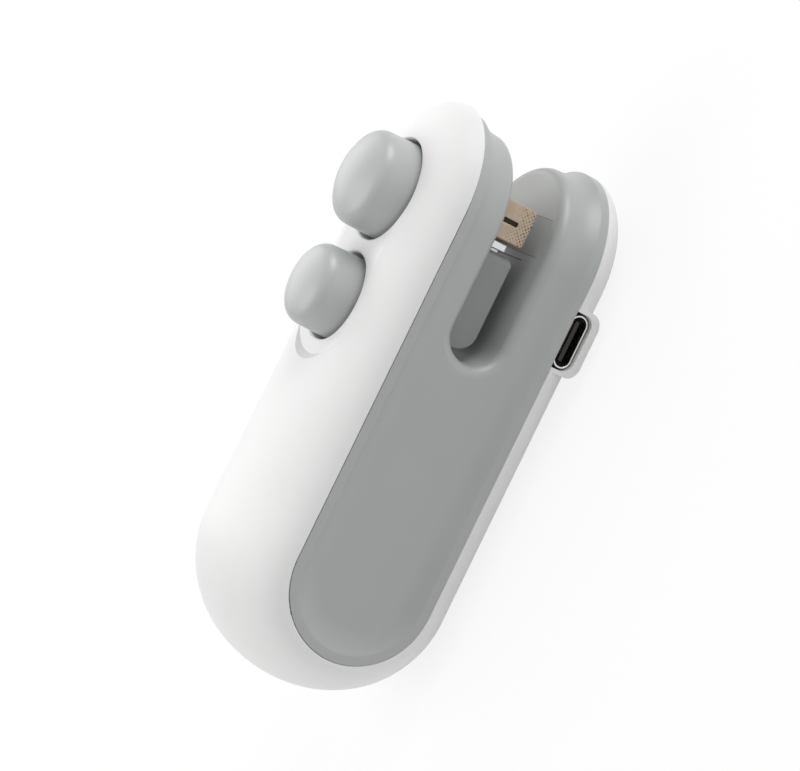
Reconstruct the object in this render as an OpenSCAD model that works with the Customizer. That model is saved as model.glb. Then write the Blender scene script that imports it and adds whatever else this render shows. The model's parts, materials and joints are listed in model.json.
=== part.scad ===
// Handheld bag heat sealer: a flat-sided capsule with a mouth at one end.
// X runs to the mouth, Y across the body, Z up to the buttons. Millimetres.
// The origin is on the bottom face, under the middle of the body.

/* [Body] */
// Length of the body over both round ends
body_l = 93.8; // [88:0.2:110]
// Width of the body over both side housings
body_w = 32.8; // [31:0.2:40]
// Height of a side housing between its two seams
panel_h = 24.7; // [23.5:0.1:30]
// Rise of the white arch beyond each seam
arch_h = 6.9; // [6.5:0.1:9]
// Wall of the white band
shell_t = 2; // [1.6:0.1:2.2]
// How much shorter the lower jaw is than the upper one
jaw_step = 1.1; // [0:0.1:2]
// How far the side housings stand behind the band at the upper nose
nose_step = 0.8; // [0:0.1:0.9]
// Depth of the flat along the bottom that the body stands on
foot_d = 0.25; // [0.15:0.05:0.4]
// Rounding of the edge of the band at the seams
edge_r = 0.35; // [0.2:0.05:0.5]

/* [Side housings] */
// Width of the flush rim along the seams
rim_w = 2.2; // [1.5:0.1:3]
// Rounding of the inner edge of the rim
rim_r = 1.1; // [0.5:0.1:2]
// Rounding of the rim at the seam
rim_edge = 0.2; // [0.1:0.05:0.4]
// Depth of the dished face below the rim
dish_d = 1.5; // [0.8:0.1:1.8]
// Width of the slope from the rim to the dished face
slope_w = 3.4; // [2.5:0.1:4]
// Wall behind the dished face
panel_t = 1.8; // [1.5:0.1:2.2]
// Gap left open at the seams
seam_gap = 0.06; // [0.03:0.01:0.15]
// How far the ledge of the band reaches behind the rim
ledge_w = 1.2; // [0.8:0.1:1.5]
// Thickness of that ledge
ledge_t = 1.6; // [1.2:0.1:2]

/* [Mouth] */
// Height of the mouth between the jaws
mouth_h = 9.2; // [8.6:0.1:10]
// Depth of the mouth from the upper nose to its round end
mouth_d = 36.7; // [35.5:0.1:38]
// Wall round the mouth
mouth_t = 1.9; // [1.7:0.1:2.2]
// Rounding of the edges of the mouth
mouth_r = 1.9; // [1:0.1:2]
// Thickness of the silicone pad in the floor of the mouth
pad_t = 1.2; // [0.8:0.1:1.3]

/* [Buttons] */
// Diameter of the large button, which seals
seal_d = 16.2; // [15:0.1:16.6]
// Diameter of the small button, which cuts
cut_d = 13.8; // [12:0.1:14.2]
// Distance from the upper nose back to the large button
seal_back = 17.3; // [16.5:0.1:18]
// Distance between the two buttons
button_pitch = 18.4; // [18.3:0.1:20]
// Height of the large button above the tray
seal_rise = 7.9; // [6.5:0.1:10]
// Height of the small button above the tray
cut_rise = 7.4; // [6.5:0.1:10]
// Crown radius of the buttons
dome_r = 13; // [12:0.5:20]
// Rounding between the wall and the crown of a button
shoulder_r = 2.6; // [1.5:0.1:3]
// Wall of the buttons
button_t = 1.5; // [1.2:0.1:2]
// Taper of a button wall, on the radius
button_draft = 0.15; // [0:0.05:0.3]
// Gap between a button and its hole
button_gap = 0.5; // [0.3:0.05:0.7]
// Reach of the flange that keeps a button in
flange_w = 1.2; // [1:0.1:1.5]
// Thickness of that flange
flange_t = 1.2; // [1:0.1:1.5]
// Rounding of the rim of a button hole
hole_r = 0.4; // [0.2:0.05:0.6]
// Depth of the flat tray that the buttons stand in
tray_d = 0.85; // [0.5:0.05:1.2]
// Margin of the tray round the small button
tray_w = 2.6; // [1.5:0.1:4]
// Depth of the collar under each button hole
collar_h = 3.25; // [3:0.05:3.6]
// Stroke of the large button
seal_travel = 2.6; // [1.8:0.05:2.7]
// Stroke of the small button
cut_travel = 2.4; // [1.8:0.05:2.5]

/* [Sealing head] */
// Length of the heater across the body
heater_l = 20.6; // [18:0.2:22.6]
// Width of the heater along the body
heater_w = 6.4; // [6:0.1:7]
// Distance from the upper nose back to the middle of the heater
heater_back = 13.8; // [13.5:0.05:14.2]
// Height of the cloth cover over the heater
cover_h = 7.3; // [6.5:0.1:8]
// Thickness of the cloth cover
cover_t = 0.35; // [0.2:0.05:0.5]
// Width of the slit in each end of the cover
slit_w = 0.7; // [0.5:0.1:1.5]
// Height of the foot of the slit above the lower edge of the cover
slit_h = 2.4; // [2:0.1:4]
// Height of the ceramic heater bar
bar_h = 4.4; // [3.5:0.1:5]
// Width of the heating ribbon
ribbon_w = 2; // [1:0.1:3]
// Thickness of the heating ribbon
ribbon_t = 0.2; // [0.1:0.05:0.3]
// Film gap left between heater and pad at the end of the stroke
nip = 0.17; // [0.1:0.01:0.4]
// Thickness of the plate of the plunger
plate_t = 1.8; // [1.4:0.1:2]

/* [Cutter] */
// How much the carriage stands back from each end of the heater
carriage_inset = 0.55; // [0.3:0.05:1.5]
// Gap left under the carriage at the end of its stroke
foot_gap = 0.38; // [0.3:0.02:0.6]
// Rounding of the free edges of the carriage
carriage_r = 1.3; // [0.8:0.1:2]
// Width of the neck and the arm of the carriage
neck_w = 6.8; // [6:0.1:7]
// Thickness of the arm of the carriage
arm_t = 1.8; // [1.4:0.1:2.2]
// Thickness of the blade
blade_t = 0.5; // [0.4:0.05:0.6]
// Width of the blade
blade_w = 12; // [8:0.5:16]
// How far the point of the blade stands below the carriage
blade_drop = 0.98; // [0.8:0.02:1.2]
// Rise of the cutting edges from the point to the sides of the blade
blade_vee = 2.4; // [1:0.1:3]
// Thickness of the plate that clamps the blade
clamp_t = 1.1; // [0.8:0.05:1.3]
// How much that plate stands back from each end of the carriage
clamp_inset = 0.25; // [0.1:0.05:1]
// Height of the plate above the foot of the carriage
clamp_rise = 2.1; // [1.6:0.1:2.6]
// Diameter of the pegs that hold the blade
peg_d = 1.6; // [1.2:0.1:2]
// Depth of the groove that the blade drops into
groove_d = 1; // [0.8:0.05:1.2]

/* [Electrics] */
// Width of the USB-C socket
usb_w = 8.94; // [8.9:0.02:9]
// Height of the USB-C socket
usb_h = 3.2; // [3.1:0.05:3.3]
// Length of the USB-C socket
usb_l = 7.35; // [7:0.05:8]
// Sheet thickness of the USB-C socket
usb_t = 0.3; // [0.2:0.05:0.35]
// Distance from the upper nose back to the socket
usb_back = 26.4; // [25:0.1:27.5]
// Distance from the lower seam down to the middle of the socket
usb_drop = 1.6; // [1.6:0.05:1.9]
// How far the mouth of the socket lies behind the side of the body
usb_recess = 0.85; // [0.3:0.05:1.2]
// Wall of the boss at the two ends of the socket
usb_boss_t = 1; // [0.8:0.05:1.5]
// Wall of the boss under the socket
usb_foot_t = 1.85; // [1.2:0.05:1.9]
// Rounding of the lower corners of the boss
usb_boss_r = 2.4; // [1.5:0.1:3]
// Crown radius of the front of the boss, from top to bottom
usb_crown_r = 10; // [8:0.5:20]
// Gap round the socket
usb_gap = 0.3; // [0.2:0.05:0.4]
// Thickness of the circuit boards
board_t = 1; // [0.8:0.1:1.2]
// Length of the main board
board_l = 29; // [26:0.5:30]
// Length of the lithium cell
cell_l = 27.5; // [20:0.5:28]
// Height of the lithium cell
cell_h = 22; // [16:0.5:23]
// Thickness of the lithium cell
cell_t = 8; // [5:0.5:10]
// Diameter of the leads
lead_d = 1; // [0.8:0.1:1.2]

/* [Fasteners and springs] */
// Diameter of the housing screws
screw_d = 2; // [1.6:0.1:2.2]
// Diameter of their heads
head_d = 3.8; // [3.4:0.1:4]
// Height of their heads
head_h = 1.3; // [1:0.1:1.6]
// Length of their shanks
screw_l = 12; // [10:0.5:14]
// Distance of the housing screws above and below the middle
screw_rise = 5.5; // [5:0.1:6]
// Distance from the round end of the mouth back to the front pair of screws
screw_back = 7; // [6.6:0.1:8]
// Distance between the front and the rear pair of screws
screw_pitch = 34.7; // [34.5:0.1:38]
// Outer diameter of the return springs
spring_d = 3; // [2.4:0.1:3.2]
// Wire of the return springs
wire_d = 0.4; // [0.3:0.05:0.5]

/* [Fits] */
// Gap round the heads that slide in the roof of the mouth
run_gap = 0.35; // [0.25:0.05:0.4]
// Gap between a flange and its collar at rest
rest_gap = 0.15; // [0.1:0.05:0.3]
// Gap of a pressed joint, on the radius
press_gap = 0.02; // [0.01:0.01:0.05]

/* [Hidden] */
$fn = 72;

// Levels and places that follow from the sizes above
half_w = body_w / 2;
half_p = panel_h / 2;
half_h = half_p + arch_h;
mid_z = half_h - foot_d;
top_z = mid_z + half_h;
seam_z = mid_z - half_p;
nose_x = body_l / 2;
butt_x = half_h - body_l / 2;
turn_x = nose_x - half_w;
mouth_r0 = mouth_h / 2;
mouth_x = nose_x - mouth_d + mouth_r0;
face_w = half_w - dish_d;
inner_w = face_w - panel_t;
floor_z = mid_z - mouth_r0;
roof_z = mid_z + mouth_r0;
jaw_z = roof_z + mouth_t;
far = 4 * body_l;
over = 1;

// Ledge of the band behind the rim of a housing
ledge_out = inner_w - seam_gap;
ledge_in = ledge_out - ledge_t;
ledge_root = 2;
ledge_grip = 1;

// Buttons
seal_x = nose_x - seal_back;
cut_x = seal_x - button_pitch;
deck_z = top_z - tray_d;
collar_z = deck_z - collar_h;
collar_w = 2;
flange_z = collar_z - rest_gap - flange_t;
tray_slope = 1.4;
boss_r = 3.2;
spigot_r = 2.2;
spigot_top = deck_z + 2;

// Sealing head
heater_x = nose_x - heater_back;
heater_z = floor_z + seal_travel + nip;
heater_fillet = 0.8;
slit_z = heater_z + slit_h;
bar_z = heater_z + cover_t + ribbon_t;
plate_z = flange_z - plate_t - 0.2;
plate_w = 2 * (ledge_in - 0.4);
seat_y = seal_d / 2 - 0.9;
seat_x = [seal_x - seal_d / 4, heater_x + heater_w / 2 + 0.7 * spring_d];
plate_back = seat_x[0] - spring_d / 2 - 0.8;
plate_end = turn_x - nose_step;
plunger_step = jaw_z + 1;
plunger_step_w = 2;
spring_seats = [[seat_x[0], seat_y], [seat_x[0], -seat_y], [seat_x[1], 0]];
peg_h = 1.5;

// Cutter
carriage_w = heater_l - 2 * carriage_inset;
clamp_w = carriage_w - 2 * clamp_inset;
clamp_x = heater_x - heater_w / 2 - run_gap - clamp_t;
blade_x = clamp_x - blade_t;
foot_z = floor_z + cut_travel + foot_gap;
carriage_h = roof_z - 0.3 - foot_z;
carriage_x = mouth_x;
neck_in = 0.6;
neck_l = 5.6;
neck_x = [mouth_x + neck_in, mouth_x + neck_in + neck_l];
arm_z = jaw_z + cut_travel + 0.3;
arm_back = cut_x - 1.4 * spigot_r;
peg_at = [carriage_w / 5, foot_z + clamp_rise + 1.25 * peg_d];
clamp_z = foot_z + clamp_rise;
groove_gap = 0.4;
peg_edge = 1.1;
peg_reach = blade_t + clamp_t;
cut_seat_y = cut_d / 2 - 1.1;
cut_seats = [[cut_x, cut_seat_y], [cut_x, -cut_seat_y]];
shelf_back = mouth_x - mouth_r0 - mouth_t;

// Electrics
usb_x = nose_x - usb_back;
usb_z = seam_z - usb_drop;
usb_y = half_w - usb_recess;
board_z = usb_z + usb_h / 2;
board_x = mouth_x - mouth_r0 - 3.2;
board_left = ledge_in - 0.3;
board_right = board_left - 2.7;
small_screw_r = 0.8;
small_head_r = 1.5;
small_head_h = 1.2;
small_screw_l = 5;
board_bosses = [for (x = [neck_x[0], heater_x]) [x, usb_l - usb_y + small_head_r + 0.2]];
board_boss_r = 2.3;
switch_w = 5.2;
switch_board_x = [neck_x[1] + run_gap + 0.5, heater_x - heater_w / 2 - run_gap - 0.8];
switch_x = (switch_board_x[0] + switch_board_x[1]) / 2;
switch_board_w = 8.8;
switch_stroke = 0.5;
switch_top = plate_z - seal_travel - rest_gap;

// Screws and bosses of the two housings
screw_x = [mouth_x - mouth_r0 - screw_back, mouth_x - mouth_r0 - screw_back - screw_pitch];
screw_seat = 7.5;
boss_screw_r = 3;
cell_x = screw_x[0] - boss_screw_r - 0.4 - cell_l;
rib_t = 1.2;

// Parts on the main board: length, width and height, or radius and height
chip = [5, 4, 1.4];
transistor = [6, 5, 1.8];
choke = [2.5, 3];
part_gap = 1.5;

// Tongue of the socket: width and thickness, depth of its tip and length of its root
tongue = [6.7, 0.7];
tongue_tip = 0.7;
tongue_root = 1.6;
lead_y = cut_seats[0][1] + spring_d / 2 + lead_d;

// Points of an arc from angle a0 to a1
function arc(x, y, r, a0, a1, n) =
    [for (k = [0:n]) let (a = a0 + (a1 - a0) * k / n) [x + r * cos(a), y + r * sin(a)]];

// Place on a fine grid, so that the stretches of a sweep meet exactly
function on_grid(x) = round(x * 1024) / 1024;

// Sweeps a quarter profile, half width by half height, round the whole body:
// a half turn at the back, straight sides, and a half turn in plan at each nose.
// The upper nose is set back by step.
module body_sweep(back_x, step = 0) {
    translate([on_grid(back_x), 0, mid_z]) rotate([-90, 0, 0]) rotate([0, 0, 90])
        rotate_extrude(angle = 180) {
            mirror([1, 0]) rotate(90) children();
            mirror([0, 1]) mirror([1, 0]) rotate(90) children();
        }
    jaw_sweep(back_x, turn_x - step) children();
    mirror_z() jaw_sweep(back_x, turn_x - jaw_step) children();
}

// One jaw of that sweep, above the middle
module jaw_sweep(back_x, end_x) {
    x0 = on_grid(back_x);
    x1 = on_grid(end_x);
    translate([x0, 0, mid_z]) rotate([90, 0, 90]) linear_extrude(x1 - x0) {
        children();
        mirror([1, 0]) children();
    }
    translate([x1, 0, mid_z]) rotate([0, 0, -90]) rotate_extrude(angle = 180) children();
}

// Mirrors about the middle height of the body
module mirror_z() {
    translate([0, 0, mid_z]) mirror([0, 0, 1]) translate([0, 0, -mid_z]) children();
}

// Quarter section of the body, drawn in by inset
module body_quarter(inset) {
    square([half_w - inset, half_p]);
    translate([0, half_p]) intersection() {
        scale([half_w - inset, arch_h - inset]) circle(1);
        square([half_w, arch_h]);
    }
}

// Quarter section of the side housings: flush rim, eased slope, dished face
module panel_quarter() {
    turn = 2 * atan(dish_d / slope_w);
    slope_r = slope_w / sin(turn) - rim_r;
    rim_y = half_p - seam_gap - rim_w;
    polygon(concat(
        [[0, 0], [face_w, 0]],
        [for (p = arc(0, 0, slope_r, 0, turn, 6)) [face_w + slope_r - p[0], rim_y - slope_w + p[1]]],
        [for (p = arc(0, 0, rim_r, turn, 0, 4)) [half_w - rim_r + p[0], rim_y - p[1]]],
        arc(half_w - rim_edge, half_p - seam_gap - rim_edge, rim_edge, 0, 90, 3),
        [[0, half_p - seam_gap]]));
}

// Quarter section of the mouth, flared where it leaves the dished face
module mouth_quarter() {
    polygon(concat(
        [[0, 0], [far, 0], [far, mouth_r0 + mouth_r]],
        arc(face_w - mouth_r, mouth_r0 + mouth_r, mouth_r, 0, -90, 8),
        [[0, mouth_r0]]));
}

// Quarter section of the white band, rounded at the seam
module band_quarter() {
    difference() {
        body_quarter(0);
        body_quarter(shell_t);
        square([far, half_p]);
        translate([half_w - edge_r, half_p]) difference() {
            square([edge_r + over, edge_r]);
            translate([0, edge_r]) circle(edge_r);
        }
    }
}

// Quarter section of the ledge that the rim of a housing rests on
module ledge_quarter() {
    intersection() {
        body_quarter(shell_t - ledge_grip);
        union() {
            translate([ledge_in, half_p - ledge_w]) square([ledge_t, ledge_w + ledge_root]);
            translate([ledge_in, half_p]) square([half_w - ledge_in, ledge_root]);
        }
    }
}

module body_form(inset) {
    body_sweep(butt_x) body_quarter(inset);
}

// Box given by its middle in X and Y and its foot in Z
module slab(x, y, z, l, w, h) {
    translate([x - l / 2, y - w / 2, z]) cube([l, w, h]);
}

// Round outline of the USB-C socket, drawn on X and Z
module usb_outline(grow) {
    r = usb_h / 2 + grow;
    for (s = [-1, 1]) translate([usb_x + s * (usb_w - usb_h) / 2, usb_z]) circle(r);
    translate([usb_x - (usb_w - usb_h) / 2, usb_z - r]) square([usb_w - usb_h, 2 * r]);
}

// Extrudes an outline drawn on X and Z along Y, from y0 to y1
module along_y(y0, y1) {
    translate([0, y1, 0]) rotate([90, 0, 0]) linear_extrude(y1 - y0) children();
}

// Outline round the USB-C socket, open up to the seam
module usb_notch(grow) {
    intersection() {
        union() {
            usb_outline(grow);
            translate([usb_x - usb_w / 2 - grow, usb_z]) square([usb_w + 2 * grow, usb_drop]);
        }
        translate([usb_x - far / 2, seam_z - far]) square([far, far]);
    }
}

// Outline of the boss round the USB-C socket, with round lower corners
module usb_boss_outline() {
    w = usb_w + 2 * usb_boss_t;
    z = usb_z - usb_h / 2 - usb_foot_t;
    translate([usb_x - w / 2, z + usb_boss_r]) square([w, seam_z - z - usb_boss_r]);
    translate([usb_x - w / 2 + usb_boss_r, z]) square([w - 2 * usb_boss_r, seam_z - z]);
    for (s = [-1, 1]) translate([usb_x + s * (w / 2 - usb_boss_r), z + usb_boss_r]) circle(usb_boss_r);
}

// Boss that fills out the arch round the USB-C socket, lower where the board lies over it
module usb_boss() {
    intersection() {
        union() {
            along_y(-half_w, -board_left - 0.4) usb_boss_outline();
            intersection() {
                along_y(-half_w, -half_w / 2) usb_boss_outline();
                translate([-far / 2, -far / 2, board_z - 0.3 - far]) cube([far, far, far]);
            }
        }
        translate([usb_x, usb_crown_r - half_w, usb_z]) rotate([0, 90, 0])
            cylinder(r = usb_crown_r, h = 3 * usb_w, center = true);
    }
}

// Button hole with a rounded rim
module button_hole(x, d) {
    r = d / 2 + button_gap;
    translate([x, 0, collar_z - over]) cylinder(r = r, h = collar_h + arch_h);
    translate([x, 0, deck_z - hole_r]) rotate_extrude() difference() {
        translate([r - over, 0]) square([hole_r + over, hole_r + over]);
        translate([r + hole_r, 0]) circle(hole_r);
    }
}

module button_collar(x, d) {
    intersection() {
        body_form(shell_t / 2);
        translate([x, 0, collar_z]) cylinder(r = d / 2 + button_gap + collar_w, h = collar_h + arch_h);
    }
}

// Flat tray in the crown of the arch, with a sloped end behind the small button
module button_tray() {
    r = cut_d / 2 + button_gap + tray_w;
    translate([cut_x, 0, deck_z]) cylinder(r1 = r, r2 = r + tray_slope * 4, h = 4);
    translate([cut_x, -r, deck_z]) cube([body_l, 2 * r, arch_h]);
}

module outer_shell() {
    color("white") difference() {
        union() {
            body_sweep(butt_x) band_quarter();
            body_sweep(butt_x, nose_step) ledge_quarter();
            button_collar(seal_x, seal_d);
            button_collar(cut_x, cut_d);
            usb_boss();
        }
        button_tray();
        button_hole(seal_x, seal_d);
        button_hole(cut_x, cut_d);
        along_y(-far, usb_l + over - usb_y) usb_notch(usb_gap);
        translate([-far / 2, -far / 2, -far]) cube([far, far, far]);
    }
}

// Both side housings in one, before they are parted at the middle
module housing_body() {
    difference() {
        union() {
            difference() {
                body_sweep(butt_x, nose_step) panel_quarter();
                body_sweep(butt_x, nose_step) square([inner_w, half_p + over]);
            }
            body_sweep(mouth_x, nose_step) square([inner_w + panel_t / 2, mouth_r0 + mouth_t]);
        }
        body_sweep(mouth_x, nose_step) mouth_quarter();
        slab(heater_x, 0, roof_z - over, heater_w + 2 * run_gap, heater_l + 2 * run_gap, mouth_t + 2 * over);
        translate([neck_x[0] - run_gap, -neck_w / 2 - run_gap, roof_z - over])
            cube([neck_x[1] - neck_x[0] + 2 * run_gap, neck_w + 2 * run_gap, mouth_t + 2 * over]);
        slab(heater_x, 0, floor_z - pad_t, heater_w, heater_l, pad_t + over);
        slab(blade_x + blade_t / 2, 0, floor_z - groove_d, blade_t + 2 * groove_gap, blade_w + 2 * groove_gap,
            groove_d + over);
    }
}

// Seat of a cutter spring, on the back of the roof of the mouth
module spring_shelf(side) {
    y = cut_seats[0][1];
    difference() {
        slab((shelf_back + mouth_x) / 2, side * y, roof_z - over, mouth_x - shelf_back, spring_d + 1.4,
            mouth_t + over);
        body_sweep(mouth_x, nose_step) mouth_quarter();
    }
}

// Ribs that clamp the cell between the two housings
module cell_ribs(side) {
    for (k = [0.2, 0.8])
        slab(cell_x + k * cell_l, side * (cell_t / 2 + inner_w + 0.4) / 2, mid_z - cell_h / 2 + 2, rib_t,
            inner_w + 0.4 - cell_t / 2, cell_h - 4);
}

module housing_half(side) {
    intersection() {
        housing_body();
        translate([-far / 2, side > 0 ? 0 : -far, -far / 2]) cube([far, far, far]);
    }
    spring_shelf(side);
    cell_ribs(side);
}

// Places its children at each housing screw, with Z pointing to the far side
module at_screws() {
    for (x = screw_x, s = [-1, 1]) translate([x, 0, mid_z + s * screw_rise]) rotate([-90, 0, 0]) children();
}

module left_housing() {
    color([0.62, 0.64, 0.63]) difference() {
        union() {
            housing_half(-1);
            at_screws() translate([0, 0, -inner_w - 0.4]) cylinder(r = boss_screw_r - 0.4, h = inner_w + 0.4);
            for (p = board_bosses) translate([p[0], p[1], board_z + board_t])
                cylinder(r = board_boss_r, h = floor_z - mouth_t + 0.4 - board_z - board_t);
        }
        at_screws() translate([0, 0, screw_seat - screw_l - 0.5])
            cylinder(r = screw_d / 2 + press_gap, h = screw_l);
        for (p = board_bosses) translate([p[0], p[1], board_z])
            cylinder(r = small_screw_r + press_gap, h = small_screw_l + 0.3);
    }
}

module right_housing() {
    color([0.62, 0.64, 0.63]) difference() {
        union() {
            housing_half(1);
            at_screws() cylinder(r = boss_screw_r, h = inner_w + 0.4);
        }
        at_screws() translate([0, 0, -1]) cylinder(r = screw_d / 2 + 0.15, h = far);
        at_screws() translate([0, 0, screw_seat]) cylinder(r = head_d / 2 + 0.2, h = far);
    }
}

module housing_screws() {
    color("silver") at_screws() difference() {
        union() {
            translate([0, 0, screw_seat - screw_l]) cylinder(r = screw_d / 2, h = screw_l);
            translate([0, 0, screw_seat]) cylinder(r = head_d / 2, h = head_h);
        }
        for (a = [0, 90]) rotate([0, 0, a]) slab(0, 0, screw_seat + head_h - 0.6, head_d * 0.6, 0.5, 1);
    }
}

// Domed outline of a button, drawn on radius and height, from z0 to its crown
function dome_outline(r0, r1, z0, crown, sphere, edge) = let (
    c = crown - sphere,
    x = r1 - edge,
    z = c + sqrt(pow(sphere - edge, 2) - x * x),
    a = atan2(z - c, x))
    concat([[0, z0], [r0, z0]], arc(x, z, edge, 0, a, 8), arc(0, c, sphere, a, 90, 6));

// Button cap with its flange and the socket for the piece below it
module button(x, d, rise, seat_z) {
    r = d / 2;
    crown = deck_z + rise;
    translate([x, 0, 0]) difference() {
        union() {
            difference() {
                union() {
                    rotate_extrude() polygon(
                        dome_outline(r, r - button_draft, flange_z, crown, dome_r, shoulder_r));
                    translate([0, 0, flange_z]) cylinder(r = r + flange_w, h = flange_t);
                }
                rotate_extrude() polygon(dome_outline(r - button_t, r - button_draft - button_t, flange_z - 1,
                    crown - button_t, dome_r - button_t, shoulder_r - button_t / 2));
            }
            translate([0, 0, seat_z]) cylinder(r = boss_r, h = crown - seat_z - 1.2 * button_t);
            for (a = [0, 90]) rotate([0, 0, a])
                slab(0, 0, deck_z, d - button_t, 1, crown - deck_z - 2.4 * button_t);
        }
        translate([0, 0, seat_z - 1]) cylinder(r = spigot_r + press_gap, h = spigot_top - seat_z + 1.3);
    }
}

module seal_button() {
    color([0.64, 0.66, 0.65]) button(seal_x, seal_d, seal_rise, plate_z + plate_t);
}

module cut_button() {
    color([0.64, 0.66, 0.65]) button(cut_x, cut_d, cut_rise, arm_z + arm_t);
}

// Spigot that carries a button
module spigot(x, z) {
    translate([x, 0, z]) cylinder(r = spigot_r, h = spigot_top - z);
}

// Plate under the large button, with the block that carries the heater
module seal_plunger() {
    inner_l = heater_l - 2 * cover_t - 0.1;
    inner_b = heater_w - 2 * cover_t - 0.1;
    color("dimgray") {
        intersection() {
            translate([0, 0, plate_z]) linear_extrude(plate_t) {
                translate([plate_back, -plate_w / 2]) square([plate_end - plate_back, plate_w]);
                translate([plate_end, 0]) circle(plate_w / 2);
            }
            slab(plate_back + far / 2, 0, 0, far, 2 * (spring_seats[0][1] + spring_d / 2 + 0.3), far);
        }
        spigot(seal_x, plate_z);
        slab(heater_x, 0, bar_z + bar_h, inner_b, inner_l, plunger_step - bar_z - bar_h);
        slab(heater_x, 0, plunger_step, inner_b, inner_l - 2 * plunger_step_w, plate_z - plunger_step);
        for (p = spring_seats) translate([p[0], p[1], plate_z - peg_h])
            cylinder(r = spring_d / 2 - wire_d - 0.1, h = peg_h);
    }
}

module heater_bar() {
    l = heater_l - 2 * cover_t - 0.1;
    color("ivory") translate([heater_x, 0, bar_z]) along_y(-l / 2, l / 2)
        cover_section(heater_w - 2 * cover_t - 0.1, bar_h, heater_fillet - cover_t);
}

module heating_ribbon() {
    color("darkgray") slab(heater_x, 0, bar_z - ribbon_t, ribbon_w, heater_l - 2 * cover_t - 0.4, ribbon_t);
}

// Section of the cloth cover, rounded along its two lower edges
module cover_section(w, h, r) {
    translate([-w / 2, r]) square([w, h - r]);
    translate([r - w / 2, 0]) square([w - 2 * r, h]);
    for (s = [-1, 1]) translate([s * (w / 2 - r), r]) circle(r);
}

// Glass cloth cover, slit at both ends where the cloth is folded in
module cloth_cover() {
    color("wheat") translate([heater_x, 0, heater_z]) difference() {
        along_y(-heater_l / 2, heater_l / 2) cover_section(heater_w, cover_h, heater_fillet);
        along_y(cover_t - heater_l / 2, heater_l / 2 - cover_t)
            translate([0, cover_t]) cover_section(heater_w - 2 * cover_t, cover_h, heater_fillet - cover_t);
        slab(0, 0, slit_z - heater_z, slit_w, far, cover_h);
    }
}

function turn_frame(p, q) = let (t = (q - p) / norm(q - p), n = cross(t, [0.31, 0.17, 0.93]), u = n / norm(n))
    [u, cross(t, u)];

// Round tube swept along a path
module tube(path, r, sides) {
    n = len(path);
    rings = [for (k = [0:n - 1]) let (f = turn_frame(path[max(k - 1, 0)], path[min(k + 1, n - 1)]))
        for (j = [0:sides - 1]) let (a = 360 * j / sides)
            path[k] + r * (cos(a) * f[0] + sin(a) * f[1])];
    skin = [for (k = [0:n - 2], j = [0:sides - 1]) let (
            a = k * sides + j, b = k * sides + (j + 1) % sides)
            each [[a, b, a + sides], [b, b + sides, a + sides]]];
    last = (n - 1) * sides;
    ends = [for (j = [1:sides - 2]) each [[0, j + 1, j], [last, last + j, last + j + 1]]];
    polyhedron(points = rings, faces = concat(skin, ends), convexity = 10);
}

// Compression spring between two levels, with closed ends
module spring(z0, z1, coils) {
    r = (spring_d - wire_d) / 2;
    steps = 12;
    n = steps * coils;
    rise = z1 - z0 - wire_d;
    tube([for (k = [0:n]) let (s = min(max((k / n * coils - 0.75) / (coils - 1.5), 0), 1))
        [r * cos(360 * k / steps), r * sin(360 * k / steps),
            z0 + wire_d / 2 + wire_d * 1.2 * min(k / n * coils, 0.75) / 0.75
            + (rise - 2.4 * wire_d) * s + wire_d * 1.2 * max(k / n * coils - coils + 0.75, 0) / 0.75]],
        wire_d / 2, 6);
}

module seal_springs() {
    color("silver") for (p = spring_seats) translate([p[0], p[1], 0]) spring(jaw_z, plate_z, 6);
}

module cut_springs() {
    color("silver") for (p = cut_seats) translate([p[0], p[1], 0]) spring(jaw_z, flange_z, 8);
}

// Carriage of the cutter: block in the mouth, neck through the roof, arm under the small button
module cutter_carriage() {
    r = carriage_h / 2;
    color([0.36, 0.37, 0.37]) {
        intersection() {
            along_y(-carriage_w / 2, carriage_w / 2) {
                translate([carriage_x, foot_z + r]) circle(r);
                translate([carriage_x, foot_z]) square([blade_x - carriage_r - carriage_x, carriage_h]);
                translate([carriage_x, foot_z + carriage_r])
                    square([blade_x - carriage_x, carriage_h - carriage_r]);
                translate([blade_x - carriage_r, foot_z + carriage_r]) circle(carriage_r);
            }
            linear_extrude(far) {
                translate([-far, -carriage_w / 2]) square([far + blade_x - carriage_r, carriage_w]);
                translate([0, carriage_r - carriage_w / 2]) square([blade_x, carriage_w - 2 * carriage_r]);
                for (s = [-1, 1]) translate([blade_x - carriage_r, s * (carriage_w / 2 - carriage_r)])
                    circle(carriage_r);
            }
        }
        translate([neck_x[0], -neck_w / 2, foot_z + r])
            cube([neck_x[1] - neck_x[0], neck_w, arm_z - foot_z - r]);
        translate([arm_back, -neck_w / 2, arm_z]) cube([neck_x[1] - arm_back, neck_w, arm_t]);
        spigot(cut_x, arm_z);
        for (s = [-1, 1]) translate([blade_x - over, s * peg_at[0], peg_at[1]]) rotate([0, 90, 0])
            cylinder(r = peg_d / 2, h = over + peg_reach);
    }
}

// Holes for the pegs of the carriage
module peg_holes() {
    for (s = [-1, 1]) translate([blade_x - over, s * peg_at[0], peg_at[1]]) rotate([0, 90, 0])
        cylinder(r = peg_d / 2 + press_gap, h = peg_reach + 2 * over);
}

module blade() {
    tip = foot_z - blade_drop;
    top = peg_at[1] + peg_d / 2 + peg_edge;
    color("lightgray") difference() {
        translate([blade_x, 0, 0]) rotate([90, 0, 90]) linear_extrude(blade_t) polygon([
            [0, tip], [blade_w / 2, tip + blade_vee], [blade_w / 2, top],
            [-blade_w / 2, top], [-blade_w / 2, tip + blade_vee]]);
        peg_holes();
    }
}

module blade_clamp() {
    color("silver") difference() {
        slab(clamp_x + clamp_t / 2, 0, clamp_z, clamp_t, clamp_w, peg_at[1] + peg_d / 2 + peg_edge - clamp_z);
        peg_holes();
    }
}

module pressure_pad() {
    color("slategray") slab(heater_x, 0, floor_z - pad_t, heater_w - 0.1, heater_l - 0.1, pad_t);
}

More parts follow.
